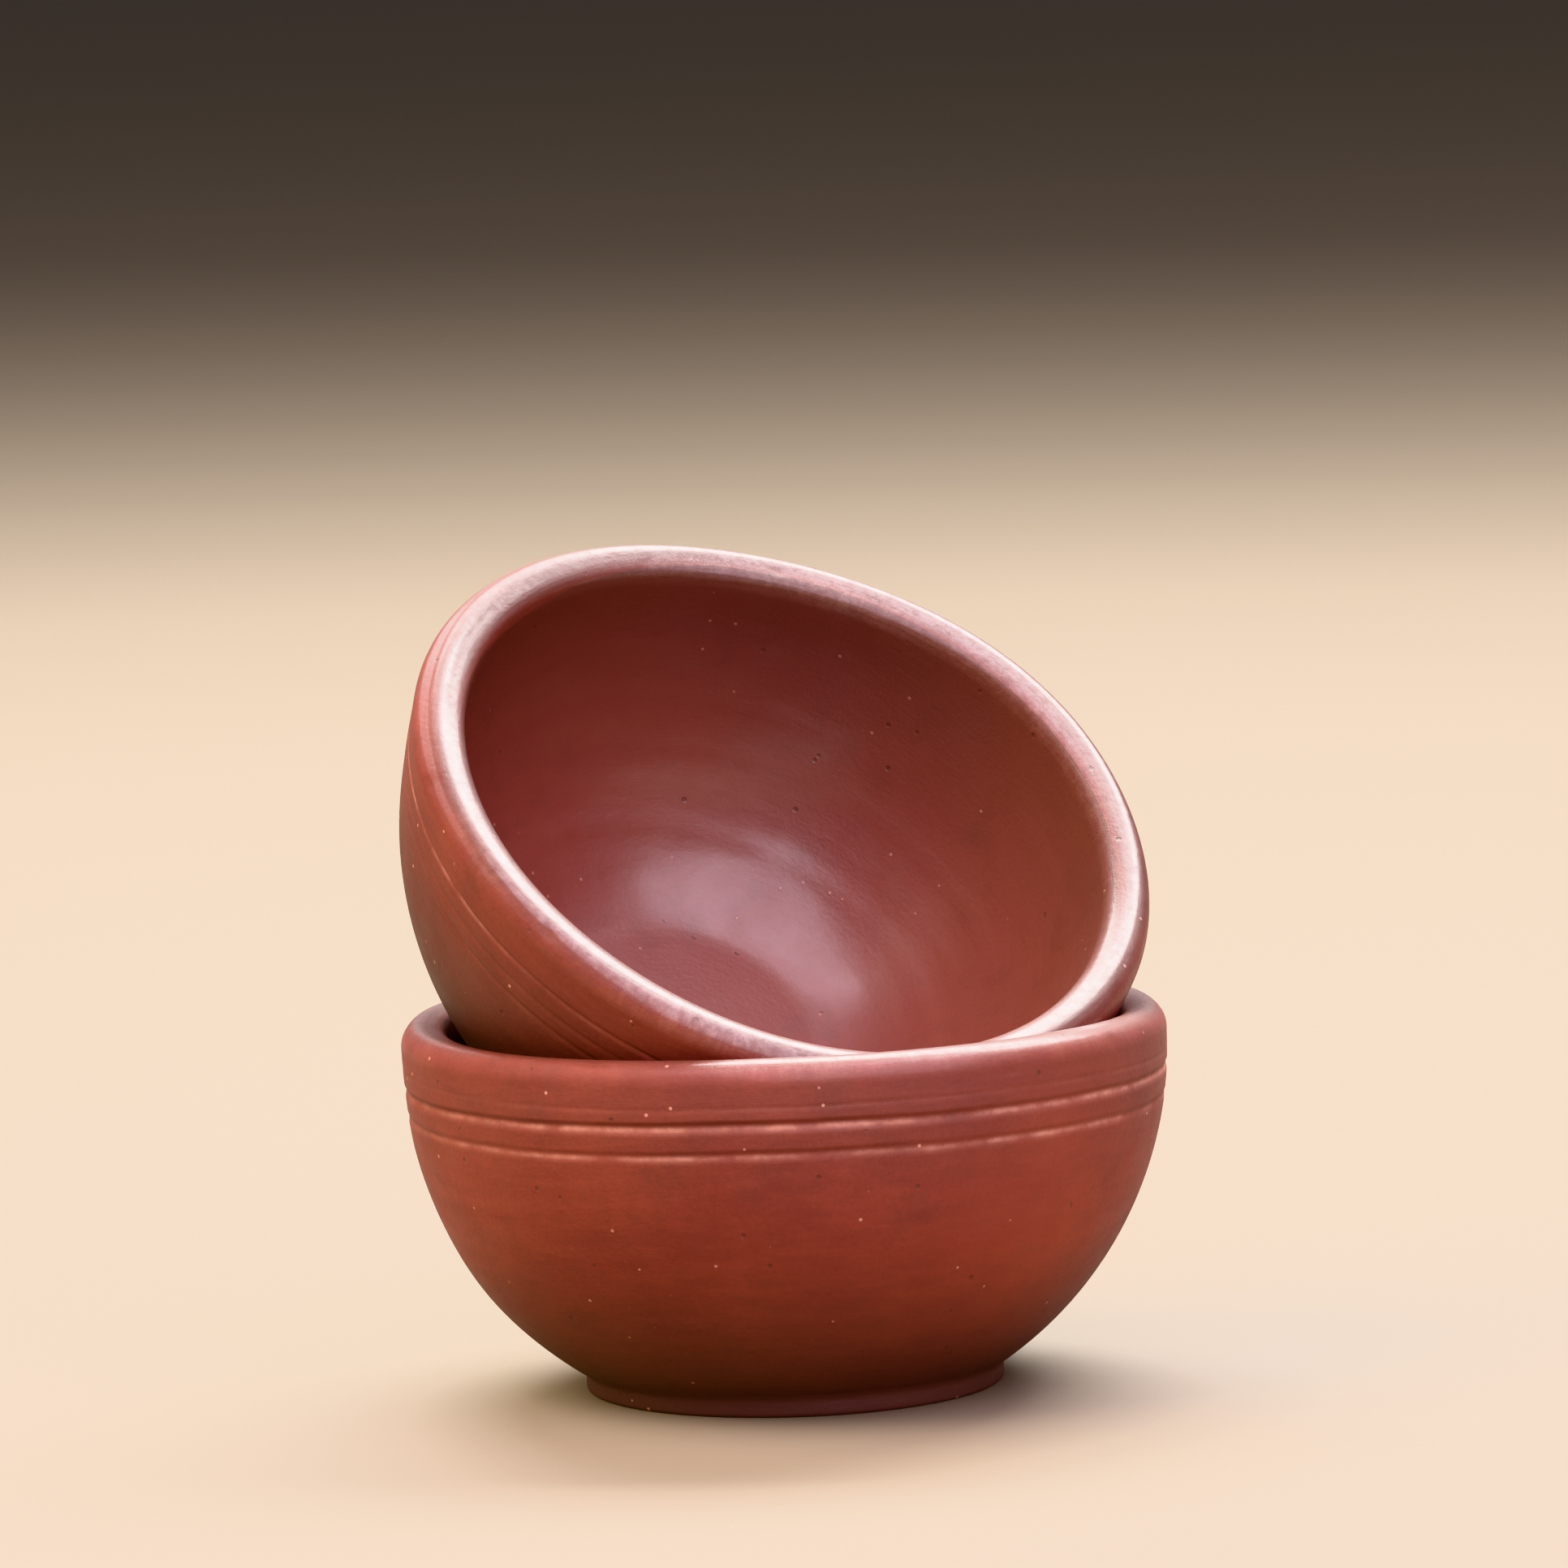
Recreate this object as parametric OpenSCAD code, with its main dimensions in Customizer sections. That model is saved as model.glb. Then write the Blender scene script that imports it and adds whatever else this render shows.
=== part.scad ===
// A pair of round clay bowls: one stands on its foot, the other leans in its mouth.
// The origin is the middle of the standing bowl's base, and +Z is up.

/* [Bowl] */
// Outside diameter at the collar
bowl_d = 130; // [104:1:170]
// Thickness of the wall and of the round lip that ends it
wall_t = 8.3; // [6:0.1:10]
// Height of the upright collar, from the widest place to the middle of the lip
collar_h = 2.1; // [1:0.1:12]
// Thickness of the floor, from the base to the inside
floor_t = 8; // [6.5:0.5:12]
// Radius of the curve between the flat floor and the inside wall
well_round = 22; // [8:1:32]

/* [Foot] */
// Diameter of the foot
foot_d = 71; // [60:0.5:84]
// Height of the foot
foot_h = 3.2; // [1.6:0.1:5]
// Rounding of the foot's lower edge
foot_round = 0.8; // [0.3:0.1:1.4]

/* [Grooves] */
// Number of grooves round the collar
groove_count = 2; // [0:1:4]
// Distance from the top of the lip down to the middle of the first groove
groove_drop = 10.4; // [9:0.2:16]
// Distance from one groove to the next
groove_pitch = 4.6; // [2:0.2:8]
// Width of a groove
groove_w = 1.4; // [0.8:0.1:2.4]
// Depth of a groove
groove_depth = 0.45; // [0.2:0.05:0.8]

/* [Leaning bowl] */
// Angle between the leaning bowl's axis and the vertical
lean_tilt = 40; // [30:1:46]
// Direction its mouth faces, seen from above, counted from +X
lean_turn = -58.3; // [-180:0.1:180]
// Clearance between the two bowls where one rests on the other
seat_gap = 0.3; // [0.2:0.05:0.6]

/* [Hidden] */
$fn = 128;

clay_colour = [0.55, 0.22, 0.16];

bowl_r = bowl_d / 2;
foot_r = foot_d / 2;
lip_r = wall_t / 2;
inner_r = bowl_r - wall_t;
// The outside is a ball cut off by the foot: its centre is at the widest place.
belly_z = foot_h + sqrt(pow(bowl_r, 2) - pow(foot_r, 2));
lip_z = belly_z + collar_h;
lip_mid_r = bowl_r - lip_r;
top_z = lip_z + lip_r;

// The inside curve touches the flat floor and the inside wall.
well_z = floor_t + well_round;
well_drop = belly_z - well_z;
well_r = sqrt(pow(inner_r - well_round, 2) - pow(well_drop, 2));
well_top_z = belly_z - inner_r * well_drop / (inner_r - well_round);
foot_angle = -atan2(belly_z - foot_h, foot_r);

// A groove is the cut of a small ring that stands out of the wall.
groove_r = pow(groove_w, 2) / groove_depth / 8 + groove_depth / 2;
groove_out = groove_r - groove_depth;

// Round part of a place, in steps of
place_step = 0.01;

// Steps round half of the lip, and halvings of the search for the seat
seat_steps = 90;
seat_halvings = 16;

// Moves by p as a round part and a small rest, so that circles that touch keep touching
module place(p) {
    round_part = [for (v = p) round(v / place_step) * place_step];
    translate(round_part) translate(p - round_part) children();
}

// Outline of the outside, up to the middle of the lip
module outside_shape() {
    intersection() {
        translate([0, belly_z]) circle(bowl_r);
        translate([0, foot_round]) square([bowl_r, lip_z - foot_round]);
    }
    translate([0, belly_z]) square([bowl_r, collar_h]);
    translate([0, foot_round]) square([foot_r, foot_h]);
    square([foot_r - foot_round, foot_h]);
    translate([foot_r - foot_round, foot_round]) circle(foot_round);
}

// Outline of the hollow
module inside_shape() {
    intersection() {
        place([0, belly_z]) circle(inner_r);
        translate([0, well_top_z]) square([inner_r, lip_z]);
    }
    translate([0, belly_z]) square([inner_r, collar_h + wall_t]);
    translate([0, floor_t]) square([well_r, well_round]);
    place([well_r, well_z]) circle(well_round);
}

// Place of a groove's middle on the ball, at a given height
function wall_point(z) =
    let (lift = z - belly_z,
         angle = lift < 0 ? asin(lift / bowl_r) : 0,
         r = bowl_r + groove_out)
    lift < 0 ? [r * cos(angle), belly_z + r * sin(angle)] : [r, z];

// One bowl, standing on its foot
module bowl() {
    rotate_extrude() difference() {
        union() {
            difference() {
                outside_shape();
                inside_shape();
            }
            translate([lip_mid_r, lip_z]) circle(lip_r);
        }
        for (i = [0:1:groove_count - 1])
            translate(wall_point(top_z - groove_drop - i * groove_pitch)) circle(groove_r);
    }
}

// Distance from a point beside the bowl to the bowl's outside, in the bowl's own outline
function lip_distance(p) = norm(p - [lip_mid_r, lip_z]) - lip_r;
function foot_distance(p) =
    p.x < foot_r - foot_round ? -p.y
    : p.y > foot_round ? p.x - foot_r
    : norm(p - [foot_r - foot_round, foot_round]) - foot_round;
function ball_distance(p) =
    let (d = p - [0, belly_z], angle = atan2(d.y, d.x))
    angle > 0 ? lip_distance(p)
    : angle < foot_angle ? foot_distance(p)
    : min(norm(d) - bowl_r, p.y < foot_h ? foot_distance(p) : lip_distance(p));
function outside_distance(p) =
    p.y > lip_z ? lip_distance(p)
    : p.y > belly_z ? p.x - bowl_r
    : ball_distance(p);

// A place beside the standing bowl's axis, in the outline of the leaning bowl.
// It leans towards +X here, and its ball's centre is at the height h, moved by s along X.
function in_leaning(p, s, h) =
    let (d = p - [s, 0, h],
         axial = d * [sin(lean_tilt), 0, cos(lean_tilt)],
         radial = sqrt(max(0, d * d - axial * axial)))
    [radial, belly_z + axial];

// Least gap between the bowls, over the standing bowl's lip from one angle to another
function seat_distance(s, h, from, to) =
    min([for (angle = [from:180 / seat_steps:to])
        outside_distance(in_leaning(
            [lip_mid_r * cos(angle), lip_mid_r * sin(angle), lip_z], s, h))]) - lip_r;

// Lowest height of the ball's centre that leaves the gap free there
function rest_height(s, from, to, low, high, left = seat_halvings) =
    let (mid = (low + high) / 2)
    left == 0 ? high
    : seat_distance(s, mid, from, to) < seat_gap
        ? rest_height(s, from, to, mid, high, left - 1)
        : rest_height(s, from, to, low, mid, left - 1);

// Shift along X at which the front and the back of the lip carry the bowl alike
function rest_shift(low, high, left = seat_halvings) =
    let (mid = (low + high) / 2,
         front = rest_height(mid, 0, 90, lip_z, top_z + bowl_r),
         back = rest_height(mid, 90, 180, lip_z, top_z + bowl_r))
    left == 0 ? [mid, max(front, back)]
    : front < back ? rest_shift(mid, high, left - 1) : rest_shift(low, mid, left - 1);

seat = rest_shift(-wall_t, wall_t);

module lower_bowl() {
    color(clay_colour) bowl();
}

module upper_bowl() {
    color(clay_colour)
        rotate([0, 0, lean_turn]) translate([seat[0], 0, seat[1]])
            rotate([0, lean_tilt, 0]) translate([0, 0, -belly_z]) bowl();
}

lower_bowl();
upper_bowl();
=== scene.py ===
import math
import bmesh
import bpy
import numpy as np
from mathutils import Matrix, Vector


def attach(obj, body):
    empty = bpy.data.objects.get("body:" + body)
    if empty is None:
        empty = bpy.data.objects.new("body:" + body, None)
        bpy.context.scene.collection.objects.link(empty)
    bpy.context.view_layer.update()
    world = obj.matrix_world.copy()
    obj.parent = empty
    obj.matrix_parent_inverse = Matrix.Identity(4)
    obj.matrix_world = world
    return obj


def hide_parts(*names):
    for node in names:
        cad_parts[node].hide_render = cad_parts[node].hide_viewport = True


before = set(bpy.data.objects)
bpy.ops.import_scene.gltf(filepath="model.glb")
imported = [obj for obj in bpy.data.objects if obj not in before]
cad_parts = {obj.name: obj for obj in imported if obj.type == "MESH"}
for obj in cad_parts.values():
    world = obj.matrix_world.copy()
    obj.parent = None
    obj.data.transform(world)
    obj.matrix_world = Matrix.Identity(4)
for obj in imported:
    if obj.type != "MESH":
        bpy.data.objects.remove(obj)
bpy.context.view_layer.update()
scene = bpy.context.scene
print("frame loaded")

mm = 0.001

# The camera stands in front, a little above the bowls. Lengths are in millimetres, angles in degrees.
camera = {
    "aim": (1.368, 0.0, 102.223),
    "distance": 1663.2,
    "elevation": 6.484,
    "roll": 1.901,
    "lens": 226.03,
}


def placeCamera(c):
    tilt = math.radians(c["elevation"])
    data = bpy.data.cameras.new("camera")
    data.sensor_width = 36
    data.lens = c["lens"]
    data.clip_start = 0.05
    data.clip_end = 60
    obj = bpy.data.objects.new("camera", data)
    scene.collection.objects.link(obj)
    back = Vector((0, -math.cos(tilt), math.sin(tilt)))
    level = Matrix.Rotation(math.pi / 2 - tilt, 4, "X")
    roll = Matrix.Rotation(-math.radians(c["roll"]), 4, "Z")
    spot = (Vector(c["aim"]) + back * c["distance"]) * mm
    obj.matrix_world = Matrix.Translation(spot) @ level @ roll
    scene.camera = obj


placeCamera(camera)
print("camera placed")

# Both bowls are thrown to one shape. Sizes are in millimetres.
bowlShape = {
    "radius": 65.0,
    "wall": 8.3,
    "collar": 2.1,
    "floor": 8.0,
    "wellRound": 22.0,
    "footRadius": 35.5,
    "footHeight": 3.2,
    "footRound": 0.8,
    "fineFrom": 43.0,       # above this height the outside has fine steps, for the cut lines
    "rimFrom": 30.0,        # between these heights the rim's rise and fall sets in
    "rimTo": 60.0,
    "aroundSteps": 432,
}


def bowlSizes(b):
    s = dict(b)
    s["belly"] = b["footHeight"] + math.sqrt(b["radius"] ** 2 - b["footRadius"] ** 2)
    s["lipZ"] = s["belly"] + b["collar"]
    s["lipR"] = b["wall"] / 2
    s["lipMid"] = b["radius"] - s["lipR"]
    s["inner"] = b["radius"] - b["wall"]
    s["wellZ"] = b["floor"] + b["wellRound"]
    drop = s["belly"] - s["wellZ"]
    s["wellR"] = math.sqrt((s["inner"] - b["wellRound"]) ** 2 - drop ** 2)
    s["wellAngle"] = math.degrees(math.atan2(drop, s["wellR"]))
    s["footAngle"] = math.degrees(math.atan2(s["belly"] - b["footHeight"], b["footRadius"]))
    s["fineAngle"] = math.degrees(math.asin((s["belly"] - b["fineFrom"]) / b["radius"]))
    return s


sizes = bowlSizes(bowlShape)


def lineTo(bm, vert, x, z, steps):
    step = (Vector((x, 0, z)) - vert.co) / steps
    for i in range(steps):
        made = bmesh.ops.extrude_vert_indiv(bm, verts=[vert])
        vert = made["verts"][0]
        bmesh.ops.translate(bm, verts=[vert], vec=step)
    return vert


def arcAbout(bm, vert, x, z, degrees, steps):
    # a positive angle climbs the outside of the bowl, from the foot towards the lip
    made = bmesh.ops.spin(bm, geom=[vert], cent=(x, 0, z), axis=(0, -1, 0),
                          angle=math.radians(degrees), steps=steps, use_duplicate=False)
    return [g for g in made["geom_last"] if isinstance(g, bmesh.types.BMVert)][0]


def throwBowl(s):
    # The outline runs from the middle of the base round the outside, over the lip and down to the floor.
    bm = bmesh.new()
    flatRadius = s["footRadius"] - s["footRound"]
    v = bm.verts.new((0, 0, 0))
    v = lineTo(bm, v, flatRadius, 0, 4)
    v = arcAbout(bm, v, flatRadius, s["footRound"], 90, 5)
    v = lineTo(bm, v, s["footRadius"], s["footHeight"], 3)
    v = arcAbout(bm, v, 0, s["belly"], s["footAngle"] - s["fineAngle"], 28)
    v = arcAbout(bm, v, 0, s["belly"], s["fineAngle"], 64)
    v = lineTo(bm, v, s["radius"], s["lipZ"], 5)
    v = arcAbout(bm, v, s["lipMid"], s["lipZ"], 180, 30)
    v = lineTo(bm, v, s["inner"], s["belly"], 2)
    v = arcAbout(bm, v, 0, s["belly"], -s["wellAngle"], 42)
    v = arcAbout(bm, v, s["wellR"], s["wellZ"], s["wellAngle"] - 90, 30)
    lineTo(bm, v, 0, s["floor"], 4)
    bmesh.ops.spin(bm, geom=bm.verts[:] + bm.edges[:], cent=(0, 0, 0), axis=(0, 0, 1),
                   angle=math.tau, steps=s["aroundSteps"], use_merge=True, use_duplicate=False)
    bmesh.ops.remove_doubles(bm, verts=bm.verts[:], dist=0.002)
    bmesh.ops.recalc_face_normals(bm, faces=bm.faces[:])
    mesh = bpy.data.meshes.new("thrown")
    bm.to_mesh(mesh)
    bm.free()
    return mesh


# Each bowl as it came off the wheel. Directions are in degrees, counted from +X in the bowl's own frame.
# round and rim: number of waves round the bowl, size in mm, direction of the first crest
# bulges: direction, height, spread in degrees, spread in height, size
# crumbled: direction in which the cut lines' edges broke away most
# pressed: direction in which the lip was pressed flattest; opposite it, the lip stayed round
# eased: direction, spread in degrees and size of a widening, so that the two bowls clear each other
# cuts: height, depth, upper flank, lower flank, share of pale crumbled clay and painted highlight
# rings: ridges that the fingers left in the hollow, by degrees up from its floor, with height and spread
# nicks: direction, angle round the lip from outside to inside, radius, depth
lowerThrow = {
    "seed": 21,
    "round": [(1, 0.17, -128.7), (2, 0.33, 121.6), (3, 0.16, -65.6), (4, 0.25, 119.8)],
    "rim": [(1, 0.22, -132.6), (2, 0.18, -115.3), (3, 0.22, 162.3), (4, 0.06, -111.6)],
    "bulges": [(-170, 15, 45, 13, 1.0), (-176, 52, 30, 7, -0.3)],
    "crumbled": -40,
    "pressed": 120,
    "eased": [(152, 26, 0.66), (-23, 24, 0.32)],
    "cuts": [(53.5, 0.40, 0.9, 1.6, 1.0), (48.8, 0.21, 0.9, 1.5, 0.75), (56.6, 0.05, 0.7, 0.9, 0.1)],
    "wander": 0.28,
    "rings": [(46, 0.12, 1.8), (55, 0.06, 1.5), (63, 0.05, 1.3), (72, 0.06, 1.5)],
    "nicks": [(-55.1, -9, 1.2, 0.2), (-120, 70, 1.2, 0.15), (-32, 20, 1.3, 0.2), (150, 60, 1.8, 0.3)],
}
upperThrow = {
    "seed": 57,
    "round": [(1, 0.22, -91.3), (2, 0.37, 59.5), (3, 0.59, -85.9), (4, 0.55, 110.7)],
    "rim": [(1, 0.73, 71.7), (2, 0.37, -132.1), (3, 0.27, -165.9), (4, 0.29, 100.3)],
    "bulges": [(-118, 62, 28, 5, 0.9), (-115, 46, 30, 9, -0.6)],
    "crumbled": 175,
    "pressed": 175,
    "eased": [],
    "cuts": [(54.4, 0.26, 0.5, 1.0, 0.7), (50.6, 0.18, 0.6, 1.2, 0.1), (47.4, 0.16, 0.6, 1.2, 0.1)],
    "wander": 0.25,
    "rings": [(45, 0.13, 1.8), (52, 0.05, 1.4), (60, 0.06, 1.5), (69, 0.05, 1.3), (78, 0.05, 1.5)],
    "nicks": [(-103.3, 26, 1.2, 0.3), (-68.4, 50, 1.2, 0.3), (155.9, 106, 1.0, 0.15), (179.7, 122, 1.0, 0.12),
              (-88, 18, 1.2, 0.15)],
}
leaning = {
    "tilt": 40.0,
    "turn": -58.3,
    "shift": 1.66783,
    "height": 95.5717,
}


def softStep(t):
    t = np.clip(t, 0, 1)
    return t * t * (3 - 2 * t)


def waves(angle, terms):
    total = np.zeros_like(angle)
    for count, size, start in terms:
        total += size * np.cos(count * angle - math.radians(start))
    return total


def awayFrom(angle, degrees):
    return (angle - math.radians(degrees) + math.pi) % math.tau - math.pi


def cutLines(height, angle, throw):
    # A cut has a short steep flank above and a long soft one below, and wanders as the hand did.
    depth = np.zeros_like(height)
    crumbsAndHighlight = np.zeros_like(height)
    seed = throw["seed"]
    for i, (level, deep, above, below, crumbs) in enumerate(throw["cuts"]):
        wander = throw["wander"] * waves(angle, [(1, 1.0, seed + 40 * i), (3, 0.5, seed * 2 + 70 * i),
                                                 (7, 0.2, seed * 3), (17, 0.14, seed * 5 + 20 * i)])
        strength = 1 + waves(angle, [(2, 0.2, seed * 7 + 50 * i), (5, 0.2, seed * 11),
                                     (23, 0.1, seed * 13 + 90 * i), (61, 0.08, seed * 17 + 30 * i),
                                     (97, 0.06, seed * 19)])
        off = height - level - wander
        depth += deep * strength * np.where(off > 0, softStep(1 - off / above), softStep(1 + off / below))
        # crumbs and painted highlight: a thin pale line on the lower edge, which faces up into the light, and
        # a fainter skirt of dust under it
        edge = np.exp(-((off + 0.34 * below) / (0.28 * below)) ** 2)
        skirt = 0.45 * softStep(1 + off / (below * 1.3)) * softStep(-off * 3)
        crumbsAndHighlight += crumbs * np.maximum(edge, skirt)
    crumbsAndHighlight *= 0.6 + 0.4 * np.cos(awayFrom(angle, throw["crumbled"]))
    return depth, np.clip(crumbsAndHighlight, 0, 1)


def fingerRings(rise, angle, throw):
    total = np.zeros_like(angle)
    seed = throw["seed"]
    for i, (level, height, spread) in enumerate(throw["rings"]):
        off = rise - level - waves(angle, [(1, 0.5, seed * 3 + 60 * i), (2, 0.3, seed + 80 * i)])
        total += height * np.exp(-(off / spread) ** 2) * (1 + waves(angle, [(2, 0.3, seed + 90 * i)]))
    return total


def pressedLip(lipTurn, angle, throw):
    # The top of the lip was pressed a little flat, more in some places than in others.
    seed = throw["seed"]
    flat = -0.12 - 0.28 * np.cos(np.radians(4 * (lipTurn - 102)))
    flat *= softStep((lipTurn - 35) / 30) * softStep((170 - lipTurn) / 25)
    return flat * (0.55 + waves(angle, [(1, 0.5, throw["pressed"]), (2, 0.15, seed * 3), (5, 0.1, seed)]))


def nickDepth(lipTurn, angle, s, nicks):
    total = np.zeros_like(angle)
    for direction, turn, radius, deep in nicks:
        # a nick is a little longer round the lip than across it
        along = awayFrom(angle, direction) * s["radius"]
        across = np.radians(lipTurn - turn) * s["lipR"]
        total += deep * np.exp(-((along / 1.3) ** 2 + across ** 2) / radius ** 2)
    return total


def bulge(angle, height, spots):
    total = np.zeros_like(angle)
    for direction, level, spread, rise, size in spots:
        off = awayFrom(angle, direction)
        total += size * np.exp(-(off / math.radians(spread)) ** 2 - ((height - level) / rise) ** 2)
    return total


def finishBowl(name, s, thrown, throw, place):
    mesh = thrown.copy()
    mesh.name = name
    count = len(mesh.vertices)
    co = np.empty(count * 3)
    mesh.vertices.foreach_get("co", co)
    co = co.reshape(-1, 3)
    normal = np.empty(count * 3)
    mesh.vertex_normals.foreach_get("vector", normal)
    normal = normal.reshape(-1, 3)

    rho = np.hypot(co[:, 0], co[:, 1])
    angle = np.arctan2(co[:, 1], co[:, 0])
    z = co[:, 2]
    # Tells the outside from the hollow and the lip, with up to a millimetre of slack
    onBall = np.hypot(rho, z - s["belly"]) > s["radius"] - 0.5
    onCollar = (z > s["belly"]) & (rho > s["radius"] - 1)
    outside = (onBall | onCollar) & (z > s["footHeight"] + 0.5)

    depth, crumbsAndHighlight = cutLines(z, angle, throw)
    moved = co - normal * (depth * outside)[:, None]
    rise = np.degrees(np.arctan2(rho, s["belly"] - z))
    hollow = (np.hypot(rho, z - s["belly"]) < s["inner"] + 0.2) & (z > s["floor"] - 0.1)
    moved += normal * (fingerRings(rise, angle, throw) * hollow)[:, None]

    lipTurn = np.degrees(np.arctan2(z - s["lipZ"], rho - s["lipMid"]))
    nearLip = np.hypot(z - s["lipZ"], rho - s["lipMid"]) < s["lipR"] + 0.1
    press = pressedLip(lipTurn, angle, throw) * (nearLip & (z > s["lipZ"]))
    press -= nickDepth(lipTurn, angle, s, throw["nicks"]) * nearLip
    moved += normal * press[:, None]

    # The clay was pulled a little out of round, most at the mouth.
    climb = softStep((z - s["footHeight"]) / (s["lipZ"] - s["footHeight"]))
    stretch = 1 + climb * waves(angle, throw["round"]) / s["radius"]
    for direction, spread, size in throw["eased"]:
        near = np.exp(-(awayFrom(angle, direction) / math.radians(spread)) ** 2)
        stretch += climb * size * near / s["radius"]
    stretch += bulge(angle, z, throw["bulges"]) * outside / s["radius"]
    moved[:, :2] *= stretch[:, None]
    moved[:, 2] += softStep((z - s["rimFrom"]) / (s["rimTo"] - s["rimFrom"])) * waves(angle, throw["rim"])

    turned = np.array(place.to_3x3())
    moved = (moved @ turned.T + np.array(place.translation)) * mm
    mesh.vertices.foreach_set("co", moved.ravel())
    # crumbled clay and painted highlight along the cut lines, for the material
    layer = mesh.attributes.new("crumbsAndHighlight", "FLOAT", "POINT")
    layer.data.foreach_set("value", (crumbsAndHighlight * outside).astype(np.float32))
    mesh.update()
    mesh.shade_smooth()
    obj = bpy.data.objects.new(name, mesh)
    scene.collection.objects.link(obj)
    return obj


lowerPlace = Matrix.Identity(4)
upperPlace = (Matrix.Rotation(math.radians(leaning["turn"]), 4, "Z")
              @ Matrix.Translation((leaning["shift"], 0, leaning["height"]))
              @ Matrix.Rotation(math.radians(leaning["tilt"]), 4, "Y")
              @ Matrix.Translation((0, 0, -sizes["belly"])))

thrown = throwBowl(sizes)
lowerBowl = finishBowl("lowerBowl", sizes, thrown, lowerThrow, lowerPlace)
upperBowl = finishBowl("upperBowl", sizes, thrown, upperThrow, upperPlace)
bpy.data.meshes.remove(thrown)
print("bowls thrown", len(lowerBowl.data.polygons), len(upperBowl.data.polygons))

# Burnished red clay, with painted shade towards the foot and on the collar, dusty where a tool broke the
# skin, and with a painted highlight along the cut lines' lower edges
lowerClay = {
    "dark": (0.058, 0.0330, 0.0280),
    "shadeFrom": -1.02,      # painted shade: radians below the widest place, darkest here
    "shadeTo": -0.45,        # and no darker from here up
    "collarShade": 0.26,        # painted shade: share of dark clay colour on the upright collar
    "middle": (0.151, 0.0360, 0.0295),
    "warm": (0.204, 0.0495, 0.0365),
    "hollow": (0.163, 0.0535, 0.0450),
    "dustAndHighlight": (0.46, 0.22, 0.165),
    "blush": (0.260, 0.0560, 0.0340),
    "blushSpot": (40, -42, -29),        # millimetres from the middle of the ball
}
upperClay = {
    "dark": (0.050, 0.0280, 0.0240),
    # the painted shade reaches higher on the leaning bowl, where it sits in the lower one
    "shadeFrom": -0.54,
    "shadeTo": 0.02,
    "collarShade": 0.0,
    "middle": (0.128, 0.0330, 0.0270),
    "warm": (0.172, 0.0450, 0.0330),
    "hollow": (0.161, 0.0535, 0.0450),
    "dustAndHighlight": (0.46, 0.23, 0.175),
    "blush": (0.240, 0.0560, 0.0360),
    "blushSpot": (-20, 55, -29),
}

# What both clays share. The first three scales are for the streaks' own space (round, round, upwards),
# the others are per metre.
claySkin = {
    "streaks": (3, 3, 18),
    "fineStreaks": (7, 7, 110),
    "scratches": (38, 38, 11),
    "clouds": 26,
    "stains": 60,
    "mottles": 150,
    "grain": 1100,
    "patches": 90,
    "crumbs": 320,
    "specks": (200, 0.075, 0.6),        # scale, size in its cell, share of the cells
    "pits": (240, 0.13, 0.22),
    "lipDarkening": 0.5,
    "crownFrom": 0.0013,        # metres off the middle of the lip, where its polish begins to fade
    "crownTo": 0.0036,
    "flankPolish": 0.25,
    # share of painted shade high in the hollow
    "hollowTint": 0.8,
    "hollowShade": 0.53,
    "wallRoughness": 0.64,
    "lipRoughness": 0.50,
    "hollowRoughness": 0.38,
    "hollowGloss": 0.36,
    "glossRoughness": 0.2,
    "glossIndex": 1.85,
    "clayIndex": 1.5,
    "clayShine": 0.42,
    "reliefDepth": 0.0001,
    "reliefStrength": 0.7,
}


def addNode(tree, kind, inputs=None, **settings):
    node = tree.nodes.new(kind)
    for key, value in settings.items():
        setattr(node, key, value)
    for key, value in (inputs or {}).items():
        if isinstance(value, bpy.types.NodeSocket):
            tree.links.new(value, node.inputs[key])
        else:
            node.inputs[key].default_value = value
    return node


def calc(tree, operation, a, b=0.0, c=0.0):
    return addNode(tree, "ShaderNodeMath", {0: a, 1: b, 2: c}, operation=operation).outputs[0]


def vectorCalc(tree, operation, a, b=(0, 0, 0), c=(0, 0, 0)):
    node = addNode(tree, "ShaderNodeVectorMath", {0: a, 1: b, 2: c}, operation=operation)
    return node.outputs["Value" if operation == "LENGTH" else 0]


def blendColours(tree, share, a, b):
    a = a if isinstance(a, bpy.types.NodeSocket) else (*a, 1)
    return addNode(tree, "ShaderNodeMix", {0: share, 6: a, 7: (*b, 1)}, data_type="RGBA").outputs[2]


def blendValues(tree, share, a, b):
    return addNode(tree, "ShaderNodeMix", {0: share, 2: a, 3: b}, data_type="FLOAT").outputs[0]


def remap(tree, value, low, high, toLow=0.0, toHigh=1.0):
    limits = {"Value": value, "From Min": low, "From Max": high, "To Min": toLow, "To Max": toHigh}
    return addNode(tree, "ShaderNodeMapRange", limits).outputs[0]


def noise(tree, spot, scale, detail, roughness):
    look = {"Vector": spot, "Scale": scale, "Detail": detail, "Roughness": roughness}
    return addNode(tree, "ShaderNodeTexNoise", look).outputs[0]


def scatter(tree, spot, scale, size, share):
    # Small round spots: each cell of the pattern has one, and only a share of them shows.
    cells = addNode(tree, "ShaderNodeTexVoronoi", {"Vector": spot, "Scale": scale})
    near = remap(tree, cells.outputs["Distance"], size * 0.6, size, 1.0, 0.0)
    picked = addNode(tree, "ShaderNodeSeparateColor", {0: cells.outputs["Color"]}).outputs[0]
    return calc(tree, "MULTIPLY", near, calc(tree, "LESS_THAN", picked, share))


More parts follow.
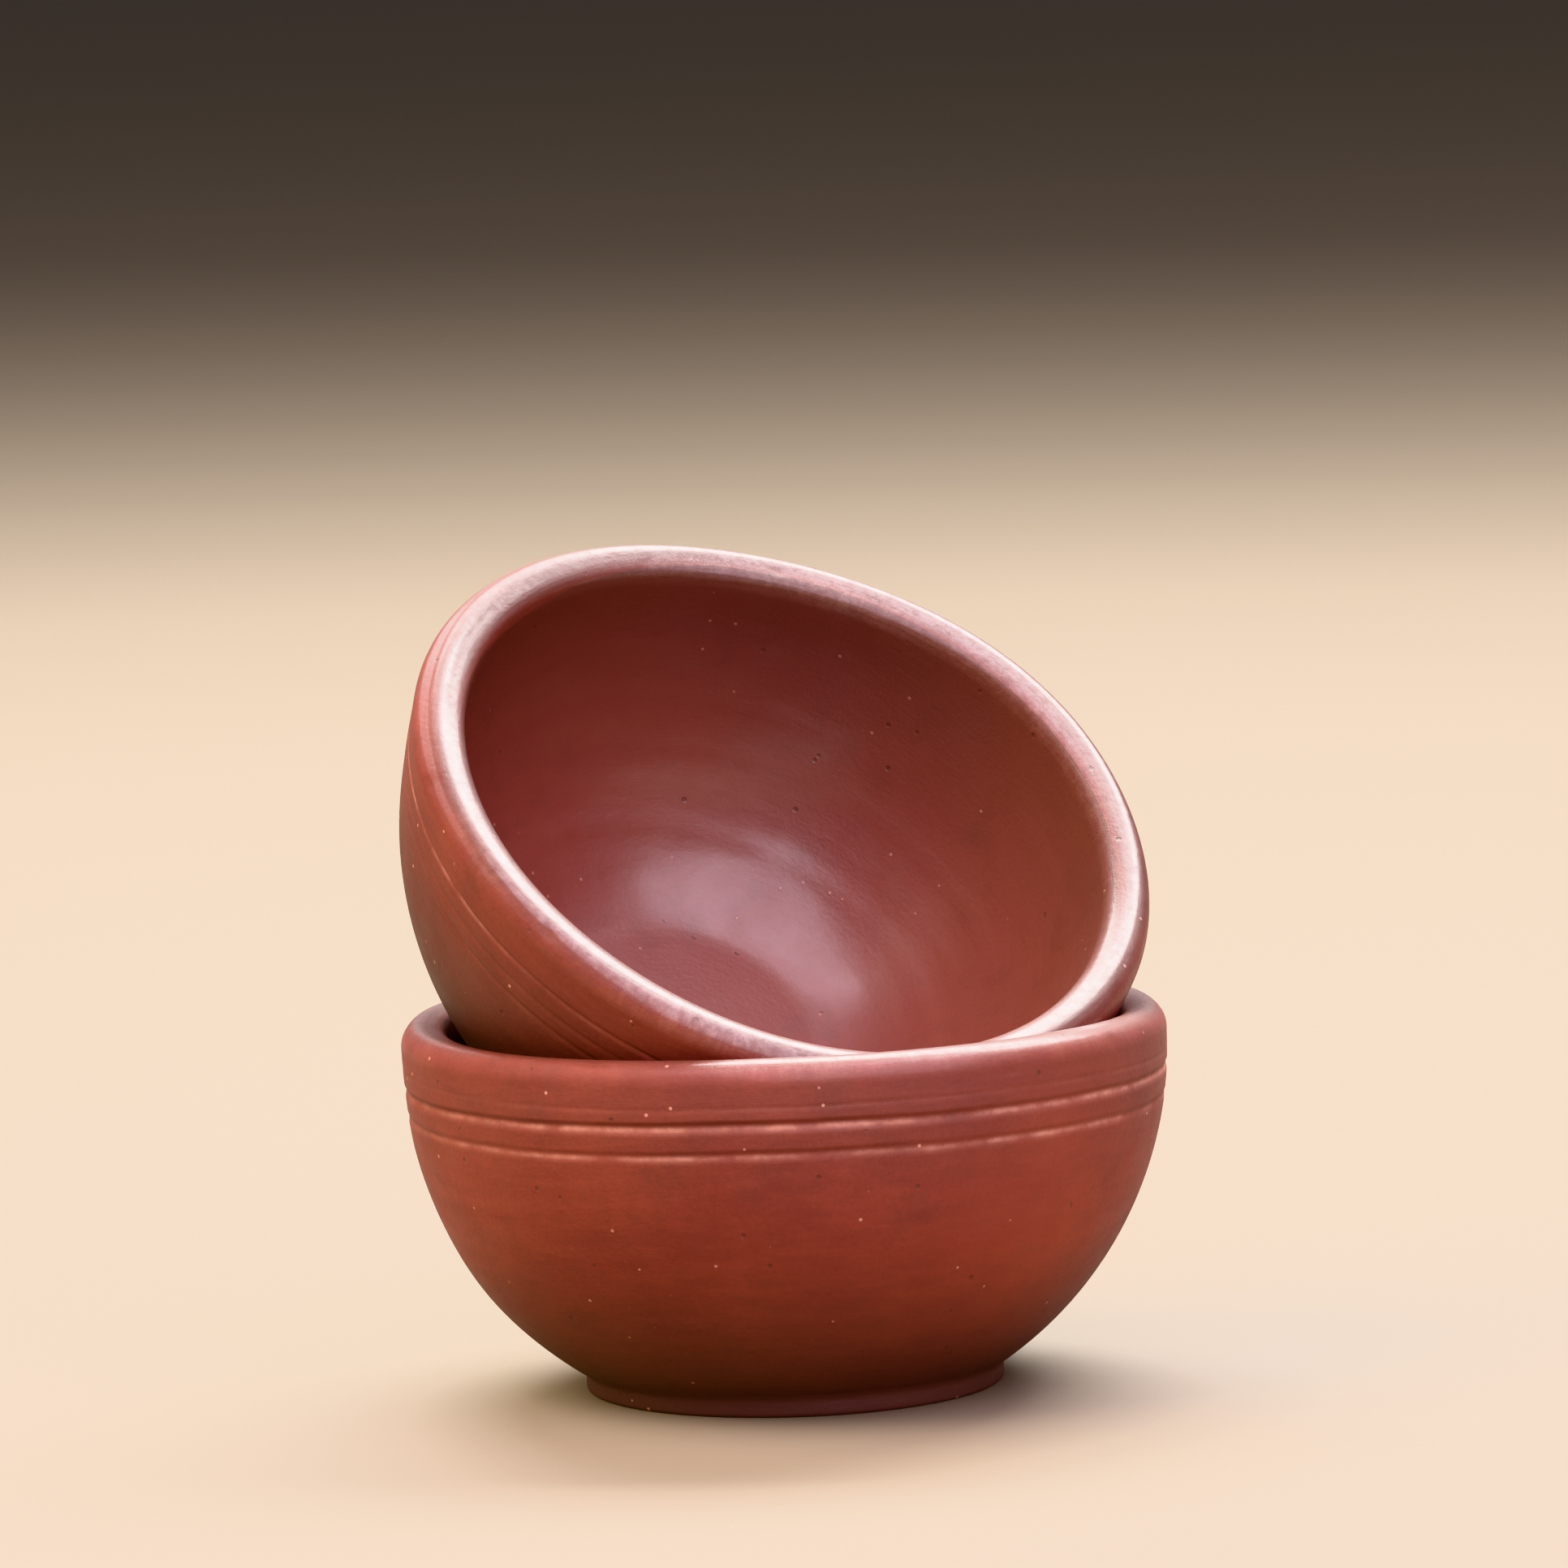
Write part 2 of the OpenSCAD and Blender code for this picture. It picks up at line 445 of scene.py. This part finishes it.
def clayMaterial(name, clay, skin, place):
    mat = bpy.data.materials.new(name)
    mat.use_nodes = True
    t = mat.node_tree
    t.nodes.clear()

    # Places on the bowl, seen from the middle of its ball
    centre = place @ Vector((0, 0, sizes["belly"])) * mm
    spot = addNode(t, "ShaderNodeTexCoord").outputs["Object"]
    spot = addNode(t, "ShaderNodeMapping", {"Vector": spot, "Location": centre, "Rotation": place.to_euler()},
                   vector_type="TEXTURE").outputs[0]
    flat = vectorCalc(t, "MULTIPLY", spot, (1, 1, 0))
    away = vectorCalc(t, "LENGTH", flat)
    side = vectorCalc(t, "NORMALIZE", flat)
    reach = vectorCalc(t, "LENGTH", spot)
    height = addNode(t, "ShaderNodeSeparateXYZ", {0: spot}).outputs["Z"]
    climb = calc(t, "ARCTAN2", height, away)
    outer = calc(t, "GREATER_THAN", reach, (sizes["radius"] - 3) * mm)
    inner = calc(t, "LESS_THAN", reach, (sizes["inner"] + 1.5) * mm)
    lip = remap(t, climb, 0.03, 0.08)
    offCrown = calc(t, "ABSOLUTE", calc(t, "SUBTRACT", away, sizes["lipMid"] * mm))
    crown = remap(t, offCrown, skin["crownFrom"], skin["crownTo"], 1.0, skin["flankPolish"])
    crown = calc(t, "MULTIPLY", crown, lip)

    # Burnishing streaks run round the bowl
    lift = addNode(t, "ShaderNodeCombineXYZ", {"Z": calc(t, "MULTIPLY_ADD", reach, 60.0, climb)}).outputs[0]
    aroundSpot = vectorCalc(t, "MULTIPLY_ADD", side, (1, 1, 1), lift)
    wide = addNode(t, "ShaderNodeMapping", {"Vector": aroundSpot, "Scale": skin["streaks"]}).outputs[0]
    streak = noise(t, wide, 1.6, 6, 0.55)
    fine = addNode(t, "ShaderNodeMapping", {"Vector": aroundSpot, "Scale": skin["fineStreaks"]}).outputs[0]
    fineStreak = noise(t, fine, 2.0, 4, 0.6)
    cloud = noise(t, spot, skin["clouds"], 5, 0.6)
    mottle = noise(t, spot, skin["mottles"], 4, 0.65)
    grain = noise(t, spot, skin["grain"], 3, 0.65)
    across = addNode(t, "ShaderNodeMapping", {"Vector": aroundSpot, "Scale": skin["scratches"]}).outputs[0]
    scratches = noise(t, across, 1.0, 5, 0.7)

    # Streaks, clouds, mottles and grain together mix the two main tones
    tone = calc(t, "MULTIPLY_ADD", streak, 0.25, calc(t, "MULTIPLY", cloud, 0.45))
    tone = calc(t, "MULTIPLY_ADD", grain, 0.2, calc(t, "MULTIPLY_ADD", mottle, 0.1, tone))
    colour = blendColours(t, remap(t, tone, 0.41, 0.59), clay["middle"], clay["warm"])
    fromBlush = vectorCalc(t, "LENGTH", vectorCalc(t, "SUBTRACT", spot, Vector(clay["blushSpot"]) * mm))
    blush = calc(t, "MULTIPLY", remap(t, fromBlush, 0.008, 0.032, 0.7, 0.0), outer)
    blush = calc(t, "MULTIPLY", blush, remap(t, cloud, 0.35, 0.6, 0.4, 1.0))
    colour = blendColours(t, blush, colour, clay["blush"])
    # Painted shade: the outside darkens towards the foot, and on the leaning bowl up to its widest place
    low = remap(t, climb, clay["shadeFrom"], clay["shadeTo"], 0.9, 0.0)
    colour = blendColours(t, calc(t, "MULTIPLY", low, outer), colour, clay["dark"])
    # Painted shade: the upright collar is darkened towards the dark clay colour
    high = remap(t, climb, -0.28, -0.04, 0.0, clay["collarShade"])
    high = calc(t, "MULTIPLY", high, calc(t, "SUBTRACT", outer, lip))
    colour = blendColours(t, high, colour, clay["dark"])
    colour = blendColours(t, calc(t, "MULTIPLY", inner, skin["hollowTint"]), colour, clay["hollow"])
    # Painted shade: the hollow darkens higher up its wall, towards the lip
    hollowShade = calc(t, "MULTIPLY", inner, remap(t, climb, -0.75, -0.05, 0.0, skin["hollowShade"]))
    colour = blendColours(t, hollowShade, colour, clay["dark"])
    flecks = calc(t, "MULTIPLY", remap(t, fineStreak, 0.52, 0.75), 0.22)
    colour = blendColours(t, flecks, colour, clay["dark"])
    stain = remap(t, noise(t, spot, skin["stains"], 5, 0.7), 0.55, 0.75, 0.0, 0.3)
    colour = blendColours(t, stain, colour, clay["dark"])

    # Hands have worn the lip greyish in places
    colour = blendColours(t, calc(t, "MULTIPLY", crown, skin["lipDarkening"]), colour, clay["dark"])
    handled = calc(t, "MULTIPLY", lip, remap(t, scratches, 0.45, 0.65, 0.0, 0.09))
    colour = blendColours(t, calc(t, "MULTIPLY", handled, remap(t, cloud, 0.4, 0.6)), colour, clay["dustAndHighlight"])

    # Pale crumbled clay along the cut lines, partly a painted highlight on their lit lower edges, and pale
    # specks and dark pits everywhere
    patchy = remap(t, noise(t, spot, skin["patches"], 4, 0.6), 0.38, 0.6, 0.1, 1.0)
    broken = remap(t, noise(t, spot, skin["crumbs"], 4, 0.65), 0.3, 0.62, 0.35, 1.0)
    crumbsAndHighlight = addNode(t, "ShaderNodeAttribute", attribute_name="crumbsAndHighlight").outputs["Fac"]
    crumbsAndHighlightShare = calc(t, "MULTIPLY", calc(t, "MULTIPLY", crumbsAndHighlight, 0.95), calc(t, "MULTIPLY", patchy, broken))
    colour = blendColours(t, crumbsAndHighlightShare, colour, clay["dustAndHighlight"])
    specks = scatter(t, spot, *skin["specks"])
    speckShare = calc(t, "MULTIPLY", specks, blendValues(t, inner, 0.8, 0.35))
    colour = blendColours(t, speckShare, colour, clay["dustAndHighlight"])
    pits = scatter(t, spot, *skin["pits"])
    colour = blendColours(t, calc(t, "MULTIPLY", pits, 0.45), colour, clay["dark"])

    rough = blendValues(t, inner, skin["wallRoughness"], skin["hollowRoughness"])
    rough = blendValues(t, lip, rough, skin["lipRoughness"])
    rough = calc(t, "MULTIPLY_ADD", calc(t, "SUBTRACT", mottle, 0.5), 0.25, rough)
    rough = calc(t, "MULTIPLY_ADD", crumbsAndHighlightShare, 0.25, rough)
    relief = calc(t, "MULTIPLY_ADD", grain, 0.9, calc(t, "MULTIPLY_ADD", fineStreak, 0.3, streak))
    relief = calc(t, "MULTIPLY_ADD", mottle, 1.2, relief)
    relief = calc(t, "MULTIPLY_ADD", calc(t, "MULTIPLY", scratches, lip), 1.5, relief)
    relief = calc(t, "MULTIPLY_ADD", pits, -1.5, calc(t, "MULTIPLY_ADD", specks, 1.0, relief))
    bump = addNode(t, "ShaderNodeBump", {"Height": relief, "Distance": skin["reliefDepth"],
                                         "Strength": skin["reliefStrength"]}).outputs[0]

    # Lip and hollow were rubbed with a stone, so they shine more than the wall.
    rubbed = calc(t, "MAXIMUM", crown, calc(t, "MULTIPLY", inner, skin["hollowGloss"]))
    patches = calc(t, "MULTIPLY_ADD", mottle, 0.6, calc(t, "MULTIPLY", cloud, 0.4))
    rubbed = calc(t, "MULTIPLY", rubbed, remap(t, patches, 0.35, 0.62, 0.35, 1.0))
    scratched = blendValues(t, lip, 1.0, remap(t, scratches, 0.36, 0.6, 0.4, 1.0))
    gloss = calc(t, "MULTIPLY", rubbed, scratched)
    shader = addNode(t, "ShaderNodeBsdfPrincipled", {"Base Color": colour, "Roughness": rough,
                                                     "Normal": bump, "Coat Weight": gloss})
    shader.inputs["IOR"].default_value = skin["clayIndex"]
    shader.inputs["Specular IOR Level"].default_value = skin["clayShine"]
    shader.inputs["Coat IOR"].default_value = skin["glossIndex"]
    shader.inputs["Coat Roughness"].default_value = skin["glossRoughness"]
    addNode(t, "ShaderNodeOutputMaterial", {"Surface": shader.outputs[0]})
    return mat


lowerBowl.data.materials.append(clayMaterial("clayLower", lowerClay, claySkin, lowerPlace))
upperBowl.data.materials.append(clayMaterial("clayUpper", upperClay, claySkin, upperPlace))

pieces = {
    "lower_bowl": (lowerBowl, "clay_lower"),
    "upper_bowl": (upperBowl, "clay_upper"),
}
for node, (piece, slotName) in pieces.items():
    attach(piece, node)
    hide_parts(node)
print("clay finished")

# A plain pale table under a dim sky
studio = {
    "floorSize": 24.0,
    "floorColour": (0.205, 0.168, 0.125),
    "floorRoughness": 0.75,
    "sky": (0.85, 0.85, 0.90),
    "skyStrength": 0.28,
    "aimHeight": 0.07,      # all lights face the air over the origin, this high
}

# Direction from +X towards +Y and height over the floor in degrees, sizes in metres, power in watts.
# A card that is seen in one kind of light only shapes either the tones or the highlights.
lights = {
    "backSoftbox": {
        "direction": 79,
        "height": 55,
        "distance": 1.8,
        "size": (2.0, 0.85),
        "power": 128,
        "colour": (1.0, 0.98, 0.96),
        "seenIn": ("diffuse", "glossy"),
    },
    "rimCard": {
        "direction": 34,
        "height": 61,
        "distance": 1.8,
        "size": (1.1, 0.8),
        "power": 10,
        "colour": (0.96, 0.98, 1.0),
        "seenIn": ("glossy",),
    },
    "frontWindow": {
        "direction": -66,
        "height": 50,
        "distance": 2.0,
        "size": (2.4, 2.8),
        "power": 92,
        "colour": (1.0, 0.85, 1.0),
        "seenIn": ("diffuse", "glossy"),
    },
    "leftFill": {
        "direction": 192,
        "height": 45,
        "distance": 2.0,
        "size": (1.6, 1.6),
        "power": 114,
        "colour": (1.0, 0.84, 0.64),
        "seenIn": ("diffuse",),
    },
    "lowFill": {
        "direction": -54,
        "height": 12,
        "distance": 2.0,
        "size": (1.8, 0.6),
        "power": 14,
        "colour": (1.0, 0.86, 0.74),
        "seenIn": ("diffuse",),
    },
}


def layFloor(st):
    bm = bmesh.new()
    bmesh.ops.create_grid(bm, x_segments=1, y_segments=1, size=st["floorSize"] / 2)
    mesh = bpy.data.meshes.new("floor")
    bm.to_mesh(mesh)
    bm.free()
    obj = bpy.data.objects.new("floor", mesh)
    scene.collection.objects.link(obj)
    mat = bpy.data.materials.new("floorPaint")
    mat.use_nodes = True
    shader = mat.node_tree.nodes["Principled BSDF"]
    shader.inputs["Base Color"].default_value = (*st["floorColour"], 1)
    shader.inputs["Roughness"].default_value = st["floorRoughness"]
    mesh.materials.append(mat)


def hangLight(name, spec, aimHeight):
    data = bpy.data.lights.new(name, "AREA")
    data.shape = "RECTANGLE"
    data.size, data.size_y = spec["size"]
    data.energy = spec["power"]
    data.color = spec["colour"]
    obj = bpy.data.objects.new(name, data)
    obj.visible_diffuse = "diffuse" in spec["seenIn"]
    obj.visible_glossy = "glossy" in spec["seenIn"]
    scene.collection.objects.link(obj)
    a = math.radians(spec["direction"])
    e = math.radians(spec["height"])
    away = Vector((math.cos(a) * math.cos(e), math.sin(a) * math.cos(e), math.sin(e)))
    obj.location = Vector((0, 0, aimHeight)) + away * spec["distance"]
    obj.rotation_mode = "QUATERNION"
    obj.rotation_quaternion = away.to_track_quat("Z", "Y")


def hangSky(st):
    world = bpy.data.worlds.new("sky")
    world.use_nodes = True
    background = world.node_tree.nodes["Background"]
    background.inputs["Color"].default_value = (*st["sky"], 1)
    background.inputs["Strength"].default_value = st["skyStrength"]
    scene.world = world


layFloor(studio)
for name, spec in lights.items():
    hangLight(name, spec, studio["aimHeight"])
hangSky(studio)
scene.view_settings.view_transform = "Khronos PBR Neutral"
print("stage lit")

bpy.context.view_layer.update()
